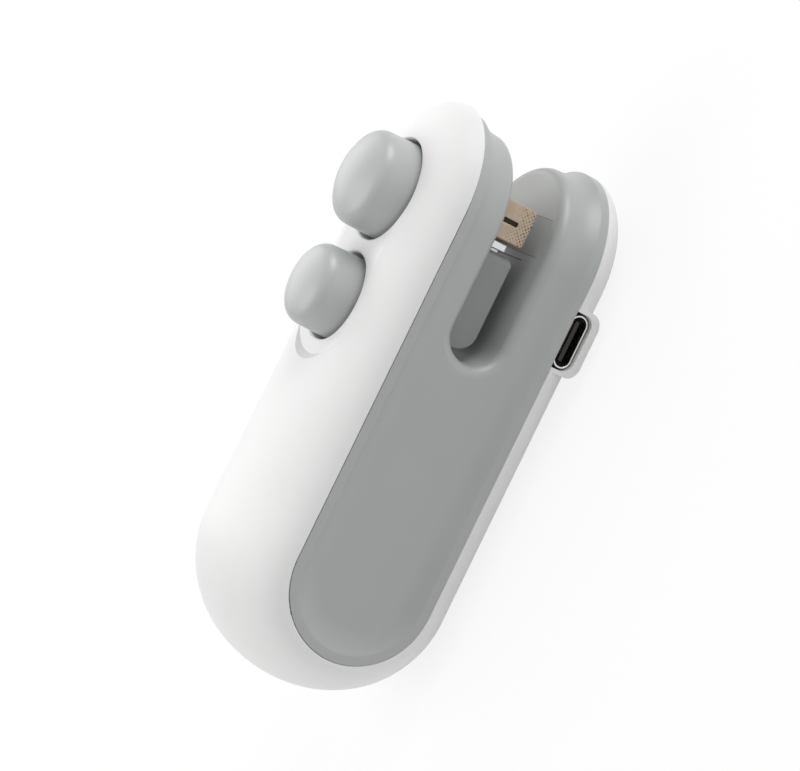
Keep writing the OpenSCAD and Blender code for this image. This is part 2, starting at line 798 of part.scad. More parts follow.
module switch_board() {
    l = switch_board_x[1] - switch_board_x[0];
    color("darkgreen") slab(switch_board_x[0] + l / 2, 0, jaw_z, l, switch_board_w, board_t);
}

// Tact switch that the plate of the plunger reaches at the end of its stroke
module seal_switch() {
    z = jaw_z + board_t;
    color("black") {
        slab(switch_x, 0, z, switch_w, switch_w, switch_top - switch_stroke - z);
        translate([switch_x, 0, z]) cylinder(r = 1.2, h = switch_top - z);
    }
}

module main_board() {
    color("darkgreen") difference() {
        intersection() {
            translate([board_x, -board_left, board_z]) cube([board_l, board_left + board_right, board_t]);
            translate([0, 0, board_z]) linear_extrude(board_t) {
                translate([0, -board_left]) square([turn_x - jaw_step, 2 * board_left]);
                translate([turn_x - jaw_step, 0]) circle(board_left);
            }
        }
        for (p = board_bosses) translate([p[0], p[1], board_z - over])
            cylinder(r = small_screw_r + 0.15, h = board_t + 2 * over);
    }
}

module board_screws() {
    color("silver") for (p = board_bosses) translate([p[0], p[1], board_z]) difference() {
        union() {
            cylinder(r = small_screw_r, h = small_screw_l);
            translate([0, 0, -small_head_h]) cylinder(r = small_head_r, h = small_head_h);
        }
        for (a = [0, 90]) rotate([0, 0, a]) slab(0, 0, -small_head_h - 0.5, small_head_r * 1.2, 0.4, 1);
    }
}

// Charger chip, power transistor and choke on the main board
module board_components() {
    z = board_z + board_t;
    color("dimgray") {
        slab(usb_x, 0, z, chip[0], chip[1], chip[2]);
        slab(usb_x - (chip[0] + transistor[0]) / 2 - part_gap, part_gap, z,
            transistor[0], transistor[1], transistor[2]);
        translate([usb_x + chip[0] / 2 + choke[0] + part_gap, 2 * part_gap, z])
            cylinder(r = choke[0], h = choke[1]);
    }
}

module usb_shell() {
    color("silver") difference() {
        along_y(-usb_y, usb_l - usb_y) usb_outline(0);
        along_y(-far, usb_l - usb_y - usb_t) usb_outline(-usb_t);
    }
}

module usb_tongue() {
    back = usb_l - usb_y - usb_t;
    tip = tongue_tip - usb_y;
    foot = back - tongue_root / 2;
    color("black") {
        along_y(back - tongue_root, back) usb_outline(-usb_t - press_gap);
        slab(usb_x, (tip + foot) / 2, usb_z - tongue[1] / 2, tongue[0], foot - tip, tongue[1]);
    }
}

module battery_cell() {
    r = cell_t / 2 - 0.5;
    color("lightsteelblue") translate([cell_x, 0, mid_z - cell_h / 2]) linear_extrude(cell_h) {
        translate([r, -cell_t / 2]) square([cell_l - 2 * r, cell_t]);
        translate([0, r - cell_t / 2]) square([cell_l, cell_t - 2 * r]);
        for (x = [r, cell_l - r], s = [-1, 1]) translate([x, s * (cell_t / 2 - r)]) circle(r);
    }
}

// Leads from the cell to the main board
module battery_leads() {
    x = cell_x + cell_l;
    z = board_z + board_t + lead_d / 2;
    z0 = mid_z - cell_h / 2 + 0.75 * lead_d;
    y = 1.6 * lead_d;
    color("firebrick") for (s = [-1, 1]) tube([
        [x - 0.1 * lead_d, s * y, z0], [x + lead_d, s * y, z0 - 0.05], [x + 3 * lead_d, s * y, (z + z0) / 2],
        [board_x + lead_d, s * y, z + 0.05], [board_x + 2.5 * lead_d, s * y, z]], lead_d / 2, 8);
}

// Leads from the main board up behind the mouth to the switch board
module jaw_leads() {
    x = shelf_back - 0.8 * lead_d;
    z = board_z + board_t + lead_d / 2;
    top = jaw_z + 1.2 * lead_d;
    end = switch_board_x[0];
    pitch = 1.8 * lead_d;
    y0 = switch_board_w / 2;
    color("dimgray") for (k = [0, 1]) {
        y = lead_y + pitch * k;
        tube([[board_x + 2.6 * lead_d, y0 + pitch * k, z],
            [board_x + 1.4 * lead_d, (y + y0 + pitch * k) / 2, z + 0.2 * lead_d],
            [x, y - lead_d, z + 2.5 * lead_d], [x, y, z + 5 * lead_d], [x, y, jaw_z - 2 * lead_d],
            [x + 0.6 * lead_d, y, jaw_z + 0.6 * lead_d], [x + 2 * lead_d, y, top],
            [end - 3 * lead_d, y, top], [end - 0.8 * lead_d, y - 1.5 * lead_d, top + 0.1 * lead_d],
            [end + 0.7 * lead_d + pitch * k, y0 - 0.4 * lead_d, jaw_z + board_t + lead_d / 2]], lead_d / 2, 8);
    }
}

outer_shell();
left_housing();
right_housing();
housing_screws();
seal_button();
seal_plunger();
heater_bar();
heating_ribbon();
cloth_cover();
seal_springs();
cut_button();
cutter_carriage();
blade();
blade_clamp();
cut_springs();
pressure_pad();
switch_board();
seal_switch();
main_board();
board_screws();
board_components();
usb_shell();
usb_tongue();
battery_cell();
battery_leads();
jaw_leads();
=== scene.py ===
# %% [markdown]
# # Handheld bag heat sealer
# A small tool that closes a plastic bag with heat and trims it with a blade.
# The measured solids come in as a fixed frame, so this script only adds what
# solids lack: smooth skins, finishes, woven cloth, light and a camera.

# %% Load the measured solids
import bmesh
import bpy
import json
import math
from mathutils import Matrix, Vector


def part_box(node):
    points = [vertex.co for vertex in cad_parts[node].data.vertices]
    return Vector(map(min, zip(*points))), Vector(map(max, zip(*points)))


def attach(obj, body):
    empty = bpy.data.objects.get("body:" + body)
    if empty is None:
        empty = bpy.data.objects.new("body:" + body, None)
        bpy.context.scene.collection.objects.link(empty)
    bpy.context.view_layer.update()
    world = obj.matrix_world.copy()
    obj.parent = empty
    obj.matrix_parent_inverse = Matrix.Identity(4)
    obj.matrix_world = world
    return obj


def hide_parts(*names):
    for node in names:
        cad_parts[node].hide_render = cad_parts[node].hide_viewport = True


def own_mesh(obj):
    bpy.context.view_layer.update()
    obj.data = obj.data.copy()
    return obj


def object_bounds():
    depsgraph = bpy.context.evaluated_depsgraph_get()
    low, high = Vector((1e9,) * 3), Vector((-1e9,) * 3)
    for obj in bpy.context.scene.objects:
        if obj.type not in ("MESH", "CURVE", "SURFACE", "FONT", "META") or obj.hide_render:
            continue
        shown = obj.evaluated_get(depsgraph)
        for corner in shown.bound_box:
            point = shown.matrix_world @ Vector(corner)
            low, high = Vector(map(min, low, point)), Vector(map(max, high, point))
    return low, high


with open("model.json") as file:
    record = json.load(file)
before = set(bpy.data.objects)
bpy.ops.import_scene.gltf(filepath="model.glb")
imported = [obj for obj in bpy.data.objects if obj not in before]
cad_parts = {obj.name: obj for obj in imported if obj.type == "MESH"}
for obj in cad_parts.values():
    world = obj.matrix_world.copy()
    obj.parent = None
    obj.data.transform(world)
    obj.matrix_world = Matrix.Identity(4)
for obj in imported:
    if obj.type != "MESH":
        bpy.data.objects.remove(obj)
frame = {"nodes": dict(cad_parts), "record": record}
solids = frame["nodes"]
scene = bpy.context.scene
solid_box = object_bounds()
box_mm = [round(1000 * side, 2) for side in solid_box[1] - solid_box[0]]
print("solids:", len(solids), "box in mm:", box_mm)

# %% [markdown]
# The picture was taken from the side with a long lens, a little from above,
# and the tool lies turned in the frame so that its mouth points up.
# A turned object is the same as a rolled camera, so the camera carries the
# roll and the tool stays flat on its own axes.

# %% Camera
lens_mm, sensor_mm = 200, 36
rise_deg, roll_deg = 26.0, 64.0
frame_width = 0.1258
body_middle = Vector((0, 0, 0.019))
shift_right, shift_up = -0.000157, 0.00322
rise, roll = math.radians(rise_deg), math.radians(roll_deg)
along, upward = Vector((1, 0, 0)), Vector((0, math.sin(rise), math.cos(rise)))
back = Vector((0, -math.cos(rise), math.sin(rise)))
right = math.cos(roll) * along - math.sin(roll) * upward
up = math.sin(roll) * along + math.cos(roll) * upward
aim = body_middle + shift_right * right + shift_up * up
camera_data = bpy.data.cameras.new("long_lens")
camera_data.lens = lens_mm
camera_data.sensor_width = sensor_mm
camera = bpy.data.objects.new("long_lens", camera_data)
scene.collection.objects.link(camera)
distance = frame_width * lens_mm / sensor_mm
turn = Matrix((right, up, back)).transposed().to_4x4()
camera.matrix_world = Matrix.Translation(aim + back * distance) @ turn
camera_data.clip_start, camera_data.clip_end = 0.01, 20
scene.camera = camera
print("camera distance in m:", round(distance, 3))

# %% [markdown]
# ## Finishes
# A moulding is never one flat colour. Each finish starts from a measured
# colour and gets a fine grain that moves the normal, and a slow drift in
# colour and gloss. The pattern reads object coordinates in millimetres,
# so it stays at its real size from every side.


# %% Numbers, places and noise
def value_of(tree, op, first, second=None, clamp=False):
    step = tree.nodes.new("ShaderNodeMath")
    step.operation, step.use_clamp = op, clamp
    for socket, item in zip(step.inputs, (first, second)):
        if isinstance(item, (int, float)):
            socket.default_value = item
        elif item is not None:
            tree.links.new(item, socket)
    return step.outputs[0]


def place_mm(tree):
    coord = tree.nodes.new("ShaderNodeTexCoord")
    scale = tree.nodes.new("ShaderNodeVectorMath")
    scale.operation = "SCALE"
    scale.inputs["Scale"].default_value = 1000
    tree.links.new(coord.outputs["Object"], scale.inputs[0])
    return scale.outputs[0]


def cloud(tree, place, per_mm, detail=3):
    noise = tree.nodes.new("ShaderNodeTexNoise")
    noise.inputs["Scale"].default_value = per_mm
    noise.inputs["Detail"].default_value = detail
    tree.links.new(place, noise.inputs["Vector"])
    return noise.outputs["Fac"]


print("tools for patterns:", [tool.__name__ for tool in (value_of, place_mm, cloud)])


# %% Tones, gloss and grain
def spread(tree, fac, low, high):
    out = tree.nodes.new("ShaderNodeMapRange")
    out.inputs["From Min"].default_value, out.inputs["From Max"].default_value = 0.3, 0.7
    out.inputs["To Min"].default_value, out.inputs["To Max"].default_value = low, high
    tree.links.new(fac, out.inputs["Value"])
    return out.outputs["Result"]


def two_tone(tree, fac, first, second):
    mix = tree.nodes.new("ShaderNodeMix")
    mix.data_type = "RGBA"
    mix.inputs["A"].default_value, mix.inputs["B"].default_value = (*first, 1), (*second, 1)
    tree.links.new(fac, mix.inputs["Factor"])
    return mix.outputs["Result"]


def raise_grain(tree, shader, height, depth_mm, strength=1):
    bump = tree.nodes.new("ShaderNodeBump")
    bump.inputs["Distance"].default_value = depth_mm / 1000
    bump.inputs["Strength"].default_value = strength
    tree.links.new(height, bump.inputs["Height"])
    tree.links.new(bump.outputs["Normal"], shader.inputs["Normal"])


def shade(color, by):
    return tuple(min(1, max(0, c * by)) for c in color)


def new_finish(name):
    finish = bpy.data.materials.new(name)
    finish.use_nodes = True
    return finish, finish.node_tree, finish.node_tree.nodes["Principled BSDF"]


print("tools for finishes:", [tool.__name__ for tool in (spread, two_tone, raise_grain, shade, new_finish)])

# %% [markdown]
# ### Plastics and rubber
# The mould leaves a fine grain on every plastic piece, and the white one lets
# a little light in. One function makes them all, so that they differ only in
# colour, gloss and grain.

# %% Moulded plastics and rubber
slow_per_mm, gloss_drift, grain_strength = 0.12, 0.04, 0.5
light_reach, light_scale = 0.001, 0.6  # how far light runs inside the plastic


def moulded(name, color, rough, grain_mm=0.25, depth_mm=0.006, drift=0.03, specular=0.5, flow=0.0):
    finish, tree, shader = new_finish(name)
    place = place_mm(tree)
    grain = cloud(tree, place, 1 / grain_mm, 2)
    slow = cloud(tree, place, slow_per_mm, 4)
    shader.inputs["Specular IOR Level"].default_value = specular
    if flow:
        shader.inputs["Subsurface Weight"].default_value = flow
        shader.inputs["Subsurface Radius"].default_value = (light_reach, light_reach, light_reach)
        shader.inputs["Subsurface Scale"].default_value = light_scale
    tone = two_tone(tree, slow, shade(color, 1 - drift), shade(color, 1 + drift))
    tree.links.new(tone, shader.inputs["Base Color"])
    gloss = spread(tree, slow, rough - gloss_drift, rough + gloss_drift)
    tree.links.new(gloss, shader.inputs["Roughness"])
    raise_grain(tree, shader, grain, depth_mm, grain_strength)
    return finish


finishes = {
    "white_plastic": moulded("white_plastic", (0.8, 0.8, 0.795), 0.5, specular=0.35, flow=0.12),
    "grey_plastic": moulded("grey_plastic", (0.385, 0.403, 0.398), 0.4, specular=0.7),
    "button_plastic": moulded("button_plastic", (0.46, 0.48, 0.468), 0.38, specular=0.7),
    "dark_plastic": moulded("dark_plastic", (0.29, 0.298, 0.3), 0.5, 0.3, 0.01),
    "silicone": moulded("silicone", (0.385, 0.403, 0.398), 0.6, 0.2, 0.008),
    "component_plastic": moulded("component_plastic", (0.012, 0.012, 0.013), 0.4, 0.15, drift=0.15),
    "heater_ceramic": moulded("heater_ceramic", (0.75, 0.71, 0.62), 0.75, 0.12, 0.01, 0.05),
}
print("mouldings:", len(finishes))

# %% [markdown]
# ### Painted shade at the ends of the heater bar
# The heater bar shows through the slits at both ends of its cover. Its ends
# are painted nearly black as painted shade, so that the slits look deep and
# dark. The colour follows the distance from the middle, so no picture has to
# be painted.


# %% Painted shade at the ends of the heater bar
def darken_slit_ends(finish, node, from_mm, to_mm, color):
    tree = finish.node_tree
    shader = tree.nodes["Principled BSDF"]
    plain = shader.inputs["Base Color"].links[0].from_socket
    axes = tree.nodes.new("ShaderNodeSeparateXYZ")
    tree.links.new(place_mm(tree), axes.inputs[0])
    out_mm = value_of(tree, "ABSOLUTE", axes.outputs["Y"])
    half_mm = 1000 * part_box(node)[1].y
    past_mm = value_of(tree, "SUBTRACT", out_mm, half_mm - from_mm)
    ramp = value_of(tree, "DIVIDE", past_mm, from_mm - to_mm, clamp=True)
    # painted shade: the colour goes to near black over the last millimetres of each end
    mix = tree.nodes.new("ShaderNodeMix")
    mix.data_type = "RGBA"
    mix.inputs["B"].default_value = (*color, 1)
    tree.links.new(ramp, mix.inputs["Factor"])
    tree.links.new(plain, mix.inputs["A"])
    tree.links.new(mix.outputs["Result"], shader.inputs["Base Color"])


# near-black painted shade at both ends of the bar, seen through the slits of the cover
slit_shade_from_mm, slit_shade_to_mm, brown = 1.5, 0.3, (0.03, 0.02, 0.015)
darken_slit_ends(finishes["heater_ceramic"], "heater_bar", slit_shade_from_mm, slit_shade_to_mm, brown)
print("shaded over the last", slit_shade_from_mm, "mm at each end")

# %% [markdown]
# ### Metals
# Rolled, ground and drawn metal has fine lines along one direction. Noise
# that is stretched along that direction gives them to colour, gloss and
# normal at once.

# %% Metals
line_stretch, line_gloss, line_strength = 0.05, 0.06, 0.4
line_dark, line_bright = 0.94, 1.05


def metal(name, color, rough, line_axis, lines_per_mm, depth_mm=0.002):
    finish, tree, shader = new_finish(name)
    stretch = tree.nodes.new("ShaderNodeVectorMath")
    stretch.operation = "MULTIPLY"
    stretch.inputs[1].default_value = [line_stretch if axis == line_axis else 1 for axis in "XYZ"]
    tree.links.new(place_mm(tree), stretch.inputs[0])
    lines = cloud(tree, stretch.outputs[0], lines_per_mm, 3)
    shader.inputs["Metallic"].default_value = 1
    tone = two_tone(tree, lines, shade(color, line_dark), shade(color, line_bright))
    tree.links.new(tone, shader.inputs["Base Color"])
    gloss = spread(tree, lines, rough - line_gloss, rough + line_gloss)
    tree.links.new(gloss, shader.inputs["Roughness"])
    raise_grain(tree, shader, lines, depth_mm, line_strength)
    return finish


metals = {
    "blade_steel": metal("blade_steel", (0.72, 0.73, 0.74), 0.32, "Y", 12),
    "spring_steel": metal("spring_steel", (0.5, 0.51, 0.52), 0.3, "X", 10),
    "zinc_steel": metal("zinc_steel", (0.62, 0.63, 0.65), 0.34, "Z", 8),
    "heating_alloy": metal("heating_alloy", (0.42, 0.4, 0.37), 0.4, "Y", 14),
    "socket_steel": metal("socket_steel", (0.74, 0.73, 0.71), 0.26, "X", 9),
    "contact_gold": metal("contact_gold", (0.83, 0.6, 0.28), 0.25, "Y", 14),
}
finishes.update(metals)
print("metals:", list(metals))

# %% [markdown]
# ## Skins
# The solids are exact, but their curved edges are built of narrow flats.
# A skin is a copy of such a solid with its corners welded, so that the
# light runs over the flats without steps. Flats that are large keep their
# own direction, because the normals are weighted by area.

# %% Weld the corners
weld_reach, flat_deg = 2e-6, 0.5


def welded_form(node):
    form = bmesh.new()
    form.from_mesh(solids[node].data)
    bmesh.ops.remove_doubles(form, verts=form.verts, dist=weld_reach)
    return form


def welded(node, planar=False):
    form = welded_form(node)
    if planar:
        flat = math.radians(flat_deg)
        bmesh.ops.dissolve_limit(form, angle_limit=flat, verts=form.verts, edges=form.edges)
    points = [v.co.copy() for v in form.verts]
    faces = [[v.index for v in f.verts] for f in form.faces]
    form.free()
    mesh = bpy.data.meshes.new(node + "_skin")
    mesh.from_pydata(points, [], faces)
    return mesh


print("corners weld within mm:", 1000 * weld_reach)

# %% [markdown]
# ### Settled pieces
# A modifier only promises a shape. Before a piece is used, the result is
# settled into plain mesh. The piece then hangs on the body it rides on, and
# the solid it stands for is hidden.


# %% Smooth, settle and hand over
def placed(name, data):
    piece = bpy.data.objects.new(name, data)
    scene.collection.objects.link(piece)
    return piece


def make_plain(piece, all_layers=False):
    graph = bpy.context.evaluated_depsgraph_get()
    done = bpy.data.meshes.new_from_object(
        piece.evaluated_get(graph), preserve_all_data_layers=all_layers, depsgraph=graph)
    piece.modifiers.clear()
    piece.data = done


def settle(name, mesh, steps):
    piece = placed(name, mesh)
    for kind, values in steps:
        modifier = piece.modifiers.new(kind.lower(), kind)
        for key, value in values.items():
            setattr(modifier, key, value)
    make_plain(piece, all_layers=True)
    return piece


def add_piece(piece, body, slot, *nodes):
    piece.data.materials.clear()
    piece.data.materials.append(finishes[slot])
    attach(piece, body)
    if nodes:
        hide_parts(*nodes)
    return piece


def skin(node, body, slot, angle=38, form=None):
    mesh = welded(node)
    if form:
        form(mesh)
    mesh.shade_smooth()
    mesh.set_sharp_from_angle(angle=math.radians(angle))
    piece = settle(node + "_skin", mesh, [("WEIGHTED_NORMAL", {"keep_sharp": True, "weight": 50})])
    return add_piece(piece, body, slot, node)


print("tools for skins:", [tool.__name__ for tool in (settle, add_piece, skin)])

# %% [markdown]
# ## Hollow of the side panels
# A thumb and a finger hold the sealer by its hollow sides. In the solids the
# rim of that hollow is broad and eases into the face. On the real panel it is
# a narrow lip with a clear edge, and from there one wide curve runs down to
# the face. A panel built anew could lose its fit to the pieces around it.
# The section of a housing is a chain of points that repeats along the whole
# panel, so here each point of the chain moves to its place on the new curve.
# The face and the mouth stay, and the gap at the seam closes to a fine line.

# %% Curve of the hollow
lip_mm = 1.5  # width of the lip along the seam
lip_round_mm = 0.5  # rounding of the lip's edge
hollow_end_mm = 5.6  # distance from the seam at which the face begins
hollow_deep_mm = 1.5  # depth of the face below the lip


def hollow_curve(points, round_steps=4):
    """Distance from the seam and depth of each point, from the lip to the face"""
    reach = hollow_end_mm - lip_mm
    radius = (reach ** 2 + hollow_deep_mm ** 2) / (2 * hollow_deep_mm)
    turn = math.asin(reach / radius)
    start = lip_mm - lip_round_mm * math.tan(turn / 2)
    curve = []
    for k in range(round_steps + 1):
        a = turn * k / round_steps
        curve.append((start + lip_round_mm * math.sin(a), lip_round_mm * (1 - math.cos(a))))
    slope_steps = points - len(curve)
    for k in range(1, slope_steps + 1):
        a = turn * (1 - k / slope_steps)
        curve.append((hollow_end_mm - radius * math.sin(a), hollow_deep_mm - radius * (1 - math.cos(a))))
    return curve


def hollow_depth(curve, from_seam):
    for (d0, deep0), (d1, deep1) in zip(curve, curve[1:]):
        if d0 <= from_seam <= d1:
            return deep0 + (deep1 - deep0) * (from_seam - d0) / (d1 - d0)
    return 0.0 if from_seam < curve[0][0] else hollow_deep_mm


print("depth in the middle of the slope in mm:",
      round(hollow_depth(hollow_curve(points=11), (lip_mm + hollow_end_mm) / 2), 2))

# %% [markdown]
# ### Section of a housing
# Every point of a panel has a root on the middle line of the body and two
# directions: outward, and upward or downward to the seam. Along the body they
# stand still, round the butt the second one turns, and round the nose the
# first one does. Measured this way, the panel is the same section everywhere.

# %% Measures of a housing
panel_low, panel_high = [1000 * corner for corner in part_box("left_housing")]
mid_z = (panel_low.z + panel_high.z) / 2
half_high = (panel_high.z - panel_low.z) / 2
half_wide = -panel_low.y
butt_x = panel_low.x + half_high
panel_points = [v.co for v in solids["left_housing"].data.vertices]
nose_high_x = panel_high.x - half_wide
nose_low_x = 1000 * max(p.x for p in panel_points if 1000 * p.z < mid_z) - half_wide


def section_of(point):
    """Root and two directions of a point, its distance from the seam and from the middle plane"""
    place = 1000 * point
    nose_x = nose_high_x if place.z > mid_z else nose_low_x
    root = Vector((min(max(place.x, butt_x), nose_x), 0, mid_z))
    arm = place - root
    if place.x > nose_x:
        outward = Vector((arm.x, arm.y, 0)).normalized()
        to_seam = Vector((0, 0, math.copysign(1, arm.z)))
    else:
        outward = Vector((0, math.copysign(1, arm.y), 0))
        to_seam = Vector((arm.x, 0, arm.z)).normalized()
    return root, outward, to_seam, half_high - arm.dot(to_seam), arm.dot(outward)


print("half height and half width in mm:", round(half_high, 2), round(half_wide, 2))
print("butt and nose turn at x in mm:", [round(x, 2) for x in (butt_x, nose_low_x, nose_high_x)])

# %% Find the chain of points
slack_mm, lip_least_mm = 0.05, 1


def on_slope(from_seam, from_middle, end_mm):
    return from_middle > half_wide - hollow_deep_mm - slack_mm / 2 and lip_least_mm < from_seam < end_mm


def section_chain(points):
    chain = []
    for from_seam, from_middle in sorted(section_of(point)[3:] for point in points):
        if on_slope(from_seam, from_middle, hollow_end_mm + slack_mm):
            if not chain or from_seam - chain[-1] > 2 * slack_mm:
                chain.append(from_seam)
    return chain


chain = section_chain(panel_points)
print("chain, from the seam in mm:", [round(from_seam, 2) for from_seam in chain])

# %% [markdown]
# ### Moving the points
# A point of the chain goes to the point of the new curve with the same number.
# A point on the edge of a screw hole keeps its distance from the seam and only
# gets the new depth, so the hole stays round. The rounding at the seam is
# drawn together, because the real seam is a fine line.

# %% Move the section to the new curve
seam_close_mm, seam_round_kept = 0.05, 0.4  # closing of the gap, share of the rounding that stays
seam_zone_mm, wall_lean = 0.3, 0.3


def hole_edges(mesh):
    """Points of walls that run straight into the panel, such as those of the screw holes"""
    walls = [p for p in mesh.polygons if abs(p.normal.y) < wall_lean and 1000 * p.center.x < nose_low_x]
    return {i for p in walls for i in p.vertices}


def hollow_out(mesh):
    holes = hole_edges(mesh)
    curve = hollow_curve(len(chain))
    moved = {"chain": 0, "seam": 0, "holes": 0}
    for v in mesh.vertices:
        root, outward, to_seam, from_seam, from_middle = section_of(v.co)
        if from_middle > half_wide - seam_zone_mm and from_seam < seam_zone_mm:
            kind = "seam"
            from_seam = seam_round_kept * from_seam - seam_close_mm
            deep = seam_round_kept * (half_wide - from_middle)
        elif on_slope(from_seam, from_middle, hollow_end_mm - 2 * slack_mm):
            k = min(range(len(chain)), key=lambda i: abs(chain[i] - from_seam))
            if v.index in holes or abs(chain[k] - from_seam) > slack_mm:
                kind, deep = "holes", hollow_depth(curve, from_seam)
            else:
                kind, (from_seam, deep) = "chain", curve[k]
        else:
            continue
        v.co = (root + outward * (half_wide - deep) + to_seam * (half_high - from_seam)) / 1000
        moved[kind] += 1
    print("points moved:", moved)


print("seam closes by mm:", seam_close_mm)

# %% [markdown]
# ### Body and buttons
# Both housings and both buttons are rounded mouldings, so all four get a
# skin. Only the housings have the hollow. The white band is smooth enough in
# the solids and stays as it is.

# %% Skins of the body and the buttons
for node, body, slot, form in (("left_housing", "housing", "grey_plastic", hollow_out),
                               ("right_housing", "housing", "grey_plastic", hollow_out),
                               ("seal_button", "seal_head", "button_plastic", None),
                               ("cut_button", "cutter", "button_plastic", None)):
    piece = skin(node, body, slot, form=form)
    print(piece.name, len(piece.data.polygons), "faces")

# %% [markdown]
# ## Edges that catch the light
# The carriage, the clamp plate, the pad and the socket have crisp edges in the
# measured solids. Real edges are broken a little, most of all on a moulding
# like the carriage, and that narrow line is what makes an edge shine. A bevel
# on the welded solid breaks all its edges at once.


# %% Broken edges
def with_edges(node, body, slot, width_mm, segments=3, angle=30):
    mesh = welded(node, planar=True)
    mesh.shade_smooth()
    mesh.set_sharp_from_angle(angle=math.radians(angle))
    bevel = {"width": width_mm / 1000, "segments": segments, "limit_method": "ANGLE",
             "angle_limit": math.radians(angle), "harden_normals": False}
    piece = settle(node + "_edged", mesh, [
        ("BEVEL", bevel),
        ("WEIGHTED_NORMAL", {"keep_sharp": False, "weight": 50})])
    return add_piece(piece, body, slot, node)


for node, body, slot, width in (("cutter_carriage", "cutter", "dark_plastic", 0.7),
                                ("blade_clamp", "cutter", "blade_steel", 0.15),
                                ("pressure_pad", "housing", "silicone", 0.02),
                                ("usb_shell", "housing", "socket_steel", 0.1)):
    piece = with_edges(node, body, slot, width)
    print(piece.name, len(piece.data.polygons), "faces")

# %% [markdown]
# ## Woven cover
# The heater is wrapped in coated glass cloth, so the plain box of the solid
# won't do. Its walls are remeshed to a fine even net, and each point sinks in
# as a plain weave does beside the crests of its threads, where warp and weft
# take turns on top. Towards both ends the cloth is folded up from below, which
# leaves a soft ridge across the end, under the slit.

# %% Weave the cloth
thread_mm, lift_mm, fold_mm = 0.5, 0.07, 0.07
thread_round, thread_dip, gap_power = 0.8, 0.45, 1.5
fold_at_mm, fold_wide_mm = 2.1, 0.35
# where the painted shadow along the butt-side edge of the cloth lies, and how wide it is
edge_shadow_at_mm, edge_shadow_wide_mm = 0.1, 0.22
# the gap flecks are strongest at the lower edge and fade upwards
flecks_at_foot, fleck_fade_per_mm, flecks_least = 1.3, 0.28, 0.25
corner_round, net_size = 0.00025, 0.00011
cover_low, cover_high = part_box("cloth_cover")
cover_mid = (cover_low + cover_high) / 2


def plain_weave(u, v):
    column, across = divmod(u / thread_mm, 1)
    row, along = divmod(v / thread_mm, 1)
    if (column + row) % 2:
        across, along = along, across
    height = 1 - thread_round * (2 * across - 1) ** 2
    height *= 1 - thread_dip + thread_dip * math.sin(math.pi * along)
    gap = abs((2 * across - 1) * (2 * along - 1)) ** gap_power
    return height, gap


def bump_at(mm, middle_mm, wide_mm):
    return math.exp(-((mm - middle_mm) / wide_mm) ** 2)


corner = {"width": corner_round, "segments": 3, "limit_method": "ANGLE", "angle_limit": math.radians(40)}
net = {"mode": "VOXEL", "voxel_size": net_size, "use_smooth_shade": True}
cloth = settle("cloth_wrap", welded("cloth_cover", planar=True), [("BEVEL", corner), ("REMESH", net)])
gaps, edge_shadows = [], []
facings = [vertex.normal.copy() for vertex in cloth.data.vertices]
for vertex, facing in zip(cloth.data.vertices, facings):
    place = 1000 * (vertex.co - cover_mid)
    axis = max(range(3), key=lambda i: abs(facing[i]))
    across, along = [place[i] for i in range(3) if i != axis]
    height, gap = plain_weave((across + along) / math.sqrt(2), (across - along) / math.sqrt(2))
    rise_mm = 1000 * (vertex.co.z - cover_low.z)
    gaps.append(gap * max(flecks_least, flecks_at_foot - fleck_fade_per_mm * rise_mm))
    # painted shadow: a dark line along the edge at the butt end, from the gap between heater and clamp
    edge_shadows.append(bump_at(1000 * (vertex.co.x - cover_low.x), edge_shadow_at_mm, edge_shadow_wide_mm))
    shift = lift_mm * (height - 1)
    if axis == 1:
        shift += fold_mm * (bump_at(rise_mm, fold_at_mm, fold_wide_mm) - 1)
    vertex.co += facing * shift / 1000
for name, values in (("gap", gaps), ("seam", edge_shadows)):
    cloth.data.attributes.new(name, "FLOAT", "POINT").data.foreach_set("value", values)
print("cloth:", len(cloth.data.vertices), "points, thread", thread_mm, "mm")

# %% [markdown]
# ### Colour of the cloth
# The cloth has slow stains and is darker in the gaps between its threads,
# more so towards its lower edge. A dark line along its edge at the butt end
# is a painted shadow of the gap between the heater and the clamp. The
# weaving step left two numbers on every point, gap and seam, the second
# being that painted shadow, so the colour follows the threads exactly.

# %% Finish of the cloth
cloth_tan, cloth_brown = (0.6, 0.475, 0.355), (0.08, 0.05, 0.03)
stain_share, edge_shadow_share = 0.22, 0.9
finish, tree, shader = new_finish("glass_cloth")
place = place_mm(tree)
gap, seam = [tree.nodes.new("ShaderNodeAttribute") for _ in range(2)]
# the attribute named seam holds the painted shadow along the butt-side edge
gap.attribute_name, seam.attribute_name = "gap", "seam"
stain = spread(tree, cloud(tree, place, 0.45, 4), 0.0, 1.0)
worn = spread(tree, cloud(tree, place, 1.6, 3), 0.2, 2.6)
fleck = value_of(tree, "MULTIPLY", gap.outputs["Fac"], worn, clamp=True)
dark = value_of(tree, "MAXIMUM", fleck, value_of(tree, "MULTIPLY", stain, stain_share))
# adds the painted shadow along the butt-side edge to the darkening
dark = value_of(tree, "MAXIMUM", dark, value_of(tree, "MULTIPLY", seam.outputs["Fac"], edge_shadow_share))
tree.links.new(two_tone(tree, dark, cloth_tan, cloth_brown), shader.inputs["Base Color"])
tree.links.new(spread(tree, stain, 0.5, 0.68), shader.inputs["Roughness"])
shader.inputs["Sheen Weight"].default_value = 0.15
raise_grain(tree, shader, cloud(tree, place, 9, 2), 0.01, 0.5)
finishes["glass_cloth"] = finish
add_piece(cloth, "seal_head", "glass_cloth", "cloth_cover")
print("cloth finish: tan", cloth_tan, "to brown", cloth_brown)

# %% [markdown]
# ## Repeats
# Screws and contact pads come many times over, so each is made once and
# Geometry Nodes sets the copies. The group below puts one object on every
# point of a carrier mesh, turns the copies into plain mesh and gives them
# their finish.


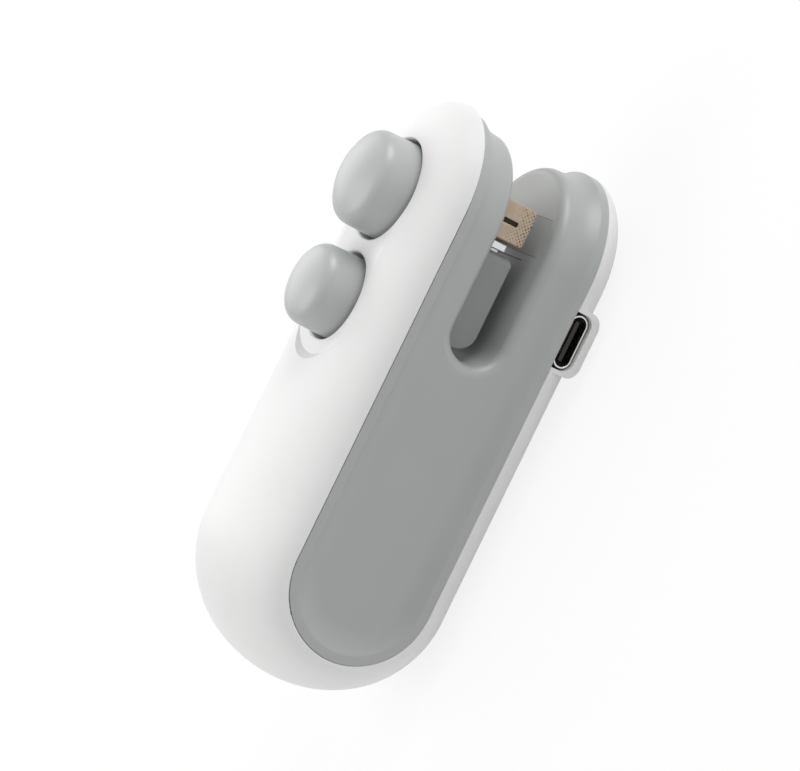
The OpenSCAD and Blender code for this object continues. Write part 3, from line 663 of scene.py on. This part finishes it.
# %% A group that sets copies on points
def new_group(name, inputs):
    group = bpy.data.node_groups.new(name, "GeometryNodeTree")
    for label, kind in (("Points", "Geometry"), *inputs):
        group.interface.new_socket(label, in_out="INPUT", socket_type="NodeSocket" + kind)
    group.interface.new_socket("Geometry", in_out="OUTPUT", socket_type="NodeSocketGeometry")
    return group, group.nodes.new("NodeGroupInput").outputs, group.nodes.new("NodeGroupOutput").inputs


def copier():
    inputs = (("Copy", "Object"), ("Turn", "Rotation"), ("Finish", "Material"))
    group, given, out = new_group("set_copies", inputs)
    info, setter, real, paint = [group.nodes.new("GeometryNode" + kind) for kind in (
        "ObjectInfo", "InstanceOnPoints", "RealizeInstances", "SetMaterial")]
    for source, target in ((given["Points"], setter.inputs["Points"]),
                           (given["Copy"], info.inputs["Object"]),
                           (info.outputs["Geometry"], setter.inputs["Instance"]),
                           (given["Turn"], setter.inputs["Rotation"]),
                           (setter.outputs["Instances"], real.inputs["Geometry"]),
                           (real.outputs["Geometry"], paint.inputs["Geometry"]),
                           (given["Finish"], paint.inputs["Material"]),
                           (paint.outputs["Geometry"], out["Geometry"])):
        group.links.new(source, target)
    return group


def inputs_of(group):
    return {item.name: item.identifier for item in group.interface.items_tree if item.in_out == "INPUT"}


def grown(name, points, group, values):
    mesh = bpy.data.meshes.new(name)
    mesh.from_pydata(points, [], [])
    carrier = placed(name, mesh)
    modifier = carrier.modifiers.new(group.name, "NODES")
    modifier.node_group = group
    sockets = inputs_of(group)
    for label, value in values.items():
        modifier[sockets[label]] = value
    make_plain(carrier)
    return carrier


copies = copier()


def set_copies(name, copy_mesh, points, turn, slot):
    original = bpy.data.objects.new(name + "_one", copy_mesh)
    piece = grown(name, points, copies, {"Copy": original, "Turn": turn, "Finish": finishes[slot]})
    bpy.data.objects.remove(original)
    print(name, "copies:", len(points), "faces:", len(piece.data.polygons))
    return piece


print("inputs of the group:", list(inputs_of(copies)))

# %% [markdown]
# ### Screws
# Four long screws hold the two housings together, and two short ones hold the
# main board. Rolled threads would need a long spiral that nobody sees, so a
# turned outline with a step for each turn makes the shank. The cross in the
# head is sunk in with sloping walls, for a driver to grip.

# %% One screw
core_share, tip_share, points_per_turn, head_edge = 0.8, 0.4, 6, 0.0001
dome = ((1, 0.45), (0.93, 0.75), (0.75, 0.95), (0.55, 1))  # shares of the head's radius and height
cross_arm, cross_half, cross_taper, cross_foot = 0.5, 0.13, 0.7, 0.45


def screw_outline(shank_r, shank_l, head_r, head_h, pitch):
    core = shank_r * core_share
    steps = int(shank_l / pitch * points_per_turn)
    outline = [(core * tip_share, -shank_l), (core, -shank_l + core)]
    for k in range(1, steps):
        radius = shank_r if k % points_per_turn in (2, 3) else core
        outline.append((radius, -shank_l + core + (shank_l - core) * k / steps))
    outline += [(shank_r, -pitch / 2), (shank_r, 0), (head_r - head_edge, 0), (head_r, head_edge)]
    return outline + [(head_r * out, head_h * high) for out, high in dome]


def sink_cross(form, head_r, head_h):
    arm, half = head_r * cross_arm, head_r * cross_half
    cross = []
    for quarter in range(4):
        turn = Matrix.Rotation(quarter * math.pi / 2, 3, "Z")
        cross += [turn @ Vector((x, y, 0)) for x, y in ((half, -half), (arm, -half), (arm, half))]
    top = [form.verts.new(v + Vector((0, 0, head_h))) for v in cross]
    foot = [form.verts.new(v * cross_taper + Vector((0, 0, head_h * cross_foot))) for v in cross]
    for k, after in enumerate([*range(1, len(cross)), 0]):
        form.faces.new((top[k], foot[k], foot[after], top[after]))
    form.faces.new(foot)
    return top


def screw_mesh(name, shank_r, shank_l, head_r, head_h, pitch, sides=40):
    form = bmesh.new()
    rows = []
    ways = [(math.cos(math.tau * k / sides), math.sin(math.tau * k / sides)) for k in range(sides)]
    for radius, height in screw_outline(shank_r, shank_l, head_r, head_h, pitch):
        rows.append([form.verts.new((radius * x, radius * y, height)) for x, y in ways])
    for low, high in zip(rows, rows[1:]):
        for k, after in enumerate([*range(1, sides), 0]):
            form.faces.new((low[k], low[after], high[after], high[k]))
    form.faces.new(rows[0][::-1])
    top = sink_cross(form, head_r, head_h)
    loops = [form.edges.get(pair) for row in (rows[-1], top) for pair in zip(row, row[1:] + row[:1])]
    bmesh.ops.bridge_loops(form, edges=loops)
    bmesh.ops.recalc_face_normals(form, faces=form.faces)
    mesh = bpy.data.meshes.new(name)
    form.to_mesh(mesh)
    form.free()
    mesh.shade_smooth()
    mesh.set_sharp_from_angle(angle=math.radians(35))
    return mesh


long_head, short_head = 0.0013, 0.0012
long_screw = screw_mesh(
    "screw", shank_r=0.00099, shank_l=0.012, head_r=0.0019, head_h=long_head, pitch=0.0007)
short_screw = screw_mesh(
    "small_screw", shank_r=0.00079, shank_l=0.005, head_r=0.0015, head_h=short_head, pitch=0.0005)
print("faces of a long and a short screw:", len(long_screw.polygons), len(short_screw.polygons))


# %% Screws in their places
def islands(node):
    """Low and high corner of each loose solid of a node, in a fixed order"""
    form = welded_form(node)
    left, found = set(form.verts), []
    while left:
        group, todo = [], [left.pop()]
        while todo:
            vertex = todo.pop()
            group.append(vertex.co.copy())
            for edge in vertex.link_edges:
                other = edge.other_vert(vertex)
                if other in left:
                    left.remove(other)
                    todo.append(other)
        found.append((Vector([min(p[i] for p in group) for i in range(3)]),
                      Vector([max(p[i] for p in group) for i in range(3)])))
    form.free()
    return sorted(found, key=lambda corners: tuple(corners[0]))


spots = [Vector(((a.x + b.x) / 2, b.y - long_head, (a.z + b.z) / 2)) for a, b in islands("housing_screws")]
screws = set_copies("housing_screws_cut", long_screw, spots, (-math.pi / 2, 0, 0), "zinc_steel")
add_piece(screws, "housing", "zinc_steel", "housing_screws")
spots = [Vector(((a.x + b.x) / 2, (a.y + b.y) / 2, a.z + short_head)) for a, b in islands("board_screws")]
screws = set_copies("board_screws_cut", short_screw, spots, (math.pi, 0, 0), "zinc_steel")
add_piece(screws, "housing", "zinc_steel", "board_screws")

# %% [markdown]
# ### Contact pads
# The tongue of the charging socket carries twelve gilded pads on each face, half
# a millimetre apart. They lie almost flush, so each is a thin plate.

# %% Contact pads of the charging socket
tongue_low, tongue_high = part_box("usb_tongue")
pad_size, pad_edge = (0.00028, 0.0022, 0.00006), 0.00002
pads_per_face, pad_pitch, pad_inset, pad_height = 12, 0.0005, 0.0016, 0.00036
pad_mesh = bpy.data.meshes.new("contact")
form = bmesh.new()
bmesh.ops.create_cube(form, size=1, matrix=Matrix.Diagonal((*pad_size, 1)))
bmesh.ops.bevel(form, geom=form.edges, offset=pad_edge, segments=2, affect="EDGES")
form.to_mesh(pad_mesh)
form.free()
middle = (tongue_low + tongue_high) / 2
first_x = middle.x - pad_pitch * (pads_per_face - 1) / 2
spots = [Vector((first_x + pad_pitch * k, tongue_low.y + pad_inset, middle.z + side * pad_height))
         for k in range(pads_per_face) for side in (-1, 1)]
pads = set_copies("socket_contacts", pad_mesh, spots, (0, 0, 0), "contact_gold")
add_piece(pads, "housing", "contact_gold")

# %% [markdown]
# ## Return springs
# Wire springs push both buttons up again. Each follows a path, a spiral with
# closed coils at both ends, so Geometry Nodes sweep a round wire along it.

# %% Height along a coil
end_turns, end_rise_wires = 0.75, 1.2  # closed turns at each end, and how far they rise


def coil_height(group, given, way):
    """Height of the wire's middle at a share of its way, closed at both ends"""
    wire = given["Wire"]
    end = value_of(group, "DIVIDE", end_turns, given["Turns"])
    rest = value_of(group, "SUBTRACT", 1, value_of(group, "MULTIPLY", end, 2))
    past_first = value_of(group, "SUBTRACT", way, end)
    past_last = value_of(group, "SUBTRACT", value_of(group, "ADD", way, end), 1)
    first = value_of(group, "DIVIDE", way, end, clamp=True)
    last = value_of(group, "DIVIDE", past_last, end, clamp=True)
    middle = value_of(group, "DIVIDE", past_first, rest, clamp=True)
    end_rise = value_of(group, "MULTIPLY", wire, end_rise_wires)
    closed = value_of(group, "MULTIPLY", value_of(group, "ADD", first, last), end_rise)
    taken = value_of(group, "MULTIPLY", wire, 2 * end_rise_wires + 1)
    open_rise = value_of(group, "SUBTRACT", given["Length"], taken)
    height = value_of(group, "ADD", closed, value_of(group, "MULTIPLY", middle, open_rise))
    return value_of(group, "ADD", height, value_of(group, "MULTIPLY", wire, 0.5))


print("closed turns at each end of a spring:", end_turns)

# %% [markdown]
# ### Winding
# The group lifts a flat spiral to that height and sweeps a round wire along
# it. Every point of the carrier mesh then gets one spring, so a change of the
# wire or of the turns reaches all springs of a button at once.

# %% A group that winds springs on points
coil_points, wire_sides = 28, 12


def winder():
    inputs = [(name, "Float") for name in ("Turns", "Radius", "Length", "Wire")]
    group, given, out = new_group("wind_springs", (*inputs, ("Finish", "Material")))
    spiral, ring, sweep, setter, real, smooth, paint, spot, share, lift = [
        group.nodes.new("GeometryNode" + kind) for kind in (
            "CurveSpiral", "CurvePrimitiveCircle", "CurveToMesh", "InstanceOnPoints", "RealizeInstances",
            "SetShadeSmooth", "SetMaterial", "InputPosition", "SplineParameter", "SetPosition")]
    apart, joined = [group.nodes.new(kind) for kind in ("ShaderNodeSeparateXYZ", "ShaderNodeCombineXYZ")]
    height = coil_height(group, given, share.outputs["Factor"])
    spiral.inputs["Resolution"].default_value = coil_points
    ring.inputs["Resolution"].default_value = wire_sides
    spiral.inputs["Height"].default_value = 0
    sweep.inputs["Fill Caps"].default_value = True
    for source, target in ((given["Turns"], spiral.inputs["Rotations"]),
                           (given["Radius"], spiral.inputs["Start Radius"]),
                           (given["Radius"], spiral.inputs["End Radius"]),
                           (value_of(group, "MULTIPLY", given["Wire"], 0.5), ring.inputs["Radius"]),
                           (spot.outputs[0], apart.inputs[0]), (apart.outputs["X"], joined.inputs["X"]),
                           (apart.outputs["Y"], joined.inputs["Y"]), (height, joined.inputs["Z"]),
                           (spiral.outputs["Curve"], lift.inputs["Geometry"]),
                           (joined.outputs[0], lift.inputs["Position"]),
                           (lift.outputs["Geometry"], sweep.inputs["Curve"]),
                           (ring.outputs["Curve"], sweep.inputs["Profile Curve"]),
                           (given["Points"], setter.inputs["Points"]),
                           (sweep.outputs["Mesh"], setter.inputs["Instance"]),
                           (setter.outputs["Instances"], real.inputs["Geometry"]),
                           (real.outputs["Geometry"], smooth.inputs["Geometry"]),
                           (smooth.outputs["Geometry"], paint.inputs["Geometry"]),
                           (given["Finish"], paint.inputs["Material"]),
                           (paint.outputs["Geometry"], out["Geometry"])):
        group.links.new(source, target)
    return group


springs_group = winder()
print("inputs of the group:", list(inputs_of(springs_group)))

# %% [markdown]
# ### Springs of both buttons
# Three springs lift the sealing button and two the cutting one. Their places,
# width and length come from the solids.

# %% Springs of both buttons
wire_d = 0.0004


def wind(node, turns):
    found = islands(node)
    low, high = found[0]
    length = high.z - low.z
    feet = [((a.x + b.x) / 2, (a.y + b.y) / 2, a.z) for a, b in found]
    springs = grown(node + "_wound", feet, springs_group, {
        "Turns": turns, "Radius": (high.y - low.y - wire_d) / 2, "Length": length,
        "Wire": wire_d, "Finish": finishes["spring_steel"]})
    add_piece(springs, "housing", "spring_steel", node)
    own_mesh(springs)
    print(springs.name, len(found), "springs, length in mm:", round(1000 * length, 2))


wind("seal_springs", turns=6.0)
wind("cut_springs", turns=8.0)

# %% [markdown]
# ## Inside
# The boards, the cell and the leads are closed in, but the model can be
# opened, so they get honest finishes too. A board has solder mask over copper
# tracks. A picture of a real layout would say too much, so bricks with raised
# joints stand for the tracks.

# %% Boards
tracks_per_mm, track_half = 0.35, 0.045
finish, tree, shader = new_finish("board_laminate")
place = place_mm(tree)
tracks = tree.nodes.new("ShaderNodeTexBrick")
tracks.inputs["Scale"].default_value = tracks_per_mm
tracks.inputs["Mortar Size"].default_value = track_half
for socket, tone in (("Color1", (0.012, 0.11, 0.045, 1)), ("Color2", (0.014, 0.13, 0.055, 1)),
                     ("Mortar", (0.05, 0.24, 0.1, 1))):
    tracks.inputs[socket].default_value = tone
tree.links.new(place, tracks.inputs["Vector"])
tree.links.new(tracks.outputs["Color"], shader.inputs["Base Color"])
tree.links.new(spread(tree, cloud(tree, place, 1.5), 0.28, 0.42), shader.inputs["Roughness"])
raise_grain(tree, shader, tracks.outputs["Fac"], 0.03, 0.6)
finishes["board_laminate"] = finish
print("width of a track in mm:", round(2 * track_half / tracks_per_mm, 2))

# %% [markdown]
# ### Foil of the cell
# A flat cell is packed in soft laminated foil, which creases when the pack is
# drawn tight. The distance to the nearest of many scattered points gives
# shallow dents with such creases between them.

# %% Foil of the cell
creases_per_mm = 0.45
finish, tree, shader = new_finish("cell_foil")
place = place_mm(tree)
crease = tree.nodes.new("ShaderNodeTexVoronoi")
crease.inputs["Scale"].default_value = creases_per_mm
tree.links.new(place, crease.inputs["Vector"])
shader.inputs["Metallic"].default_value = 0.85
# painted shade: the colour darkens towards the creases, on top of the dents of the bump
tone = two_tone(tree, crease.outputs["Distance"], (0.62, 0.64, 0.67), (0.5, 0.52, 0.55))
tree.links.new(tone, shader.inputs["Base Color"])
tree.links.new(spread(tree, cloud(tree, place, 1.2), 0.26, 0.42), shader.inputs["Roughness"])
raise_grain(tree, shader, crease.outputs["Distance"], 0.08, 0.5)
finishes["cell_foil"] = finish
print("creases of the foil, apart in mm:", round(1 / creases_per_mm, 1))

# %% [markdown]
# ### Leads
# The leads have a soft silicone jacket. Their solids bend in short straight
# stretches, so they get a skin, with a wide angle to smooth over the bends.

# %% Leads
finishes["lead_jacket"] = moulded("lead_jacket", (0.28, 0.02, 0.015), 0.5, 0.15, drift=0.08)
for node in ("battery_leads", "jaw_leads"):
    leads = skin(node, "housing", "lead_jacket", 65)
    print(leads.name, len(leads.data.polygons), "faces")

# %% [markdown]
# ### Solids that stay as they are
# Plain pieces need no skin. The record names a finish for every solid, so one
# loop gives it to all of them, also to those that a skin stands for.

# %% Finishes for the solids that stay as they are
for part in frame["record"]["subparts"]:
    solid, slot = solids[part["node"]], part["material_slot"]
    solid.data.materials.clear()
    solid.data.materials.append(finishes[slot])
print("finishes in use:", len(finishes))

# %% [markdown]
# ## Light
# The picture looks lit by large soft lamps in a white room. A white world fills
# the shadows. One lamp stands overhead, towards the butt end, one before the
# nose, and a weak one behind the sealer keeps its far side from going dark.
# Large discs give the soft edges that small lamps can't.

# %% Light
sky_strength, lamp_aim = 0.49, Vector((0, 0, 0.02))
scene.view_settings.view_transform = "Standard"
world = bpy.data.worlds.new("studio")
scene.world = world
world.use_nodes = True
sky = world.node_tree.nodes["Background"]
sky.inputs["Color"].default_value = (1, 1, 1, 1)
sky.inputs["Strength"].default_value = sky_strength


def area_lamp(name, place, size, watts):
    data = bpy.data.lights.new(name, "AREA")
    data.shape, data.size, data.energy = "DISK", size, watts
    lamp = placed(name, data)
    lamp.location = place
    lamp.rotation_mode = "QUATERNION"
    lamp.rotation_quaternion = (lamp_aim - Vector(place)).to_track_quat("-Z", "Y")


area_lamp("overhead", (-0.42, 0.2, 0.88), size=0.9, watts=4.5)
area_lamp("nose", (0.8, -0.15, 0.34), size=0.5, watts=3.4)
area_lamp("rear", (0.1, 0.7, 0.42), size=0.7, watts=2.0)
print("lamps:", len(bpy.data.lights))

# %% [markdown]
# ## Floor
# A white floor carries a faint shadow. The camera and bright reflections see it
# almost glowing, as in the picture, and for all other light it is plain white
# paint. A floor that glowed for every ray would light the sealer from below.

# %% Floor
floor_half, glow_share = 3, 0.85
corners = [(x * floor_half, y * floor_half, 0) for x, y in ((-1, -1), (1, -1), (1, 1), (-1, 1))]
floor_mesh = bpy.data.meshes.new("floor")
floor_mesh.from_pydata(corners, [], [(0, 1, 2, 3)])
floor = placed("floor", floor_mesh)
paint, tree, shader = new_finish("floor_white")
shader.inputs["Base Color"].default_value = (0.9, 0.9, 0.9, 1)
shader.inputs["Roughness"].default_value = 0.9
light_path = tree.nodes.new("ShaderNodeLightPath")
glow = tree.nodes.new("ShaderNodeEmission")
glow.inputs["Strength"].default_value = 1
mix = tree.nodes.new("ShaderNodeMixShader")
seen = value_of(tree, "MAXIMUM", light_path.outputs["Is Camera Ray"], light_path.outputs["Is Glossy Ray"])
seen = value_of(tree, "MAXIMUM", seen, light_path.outputs["Is Transmission Ray"])
tree.links.new(value_of(tree, "MULTIPLY", seen, glow_share), mix.inputs["Fac"])
tree.links.new(shader.outputs[0], mix.inputs[1])
tree.links.new(glow.outputs[0], mix.inputs[2])
tree.links.new(mix.outputs[0], tree.nodes["Material Output"].inputs["Surface"])
floor_mesh.materials.append(paint)
print("floor in m:", 2 * floor_half)
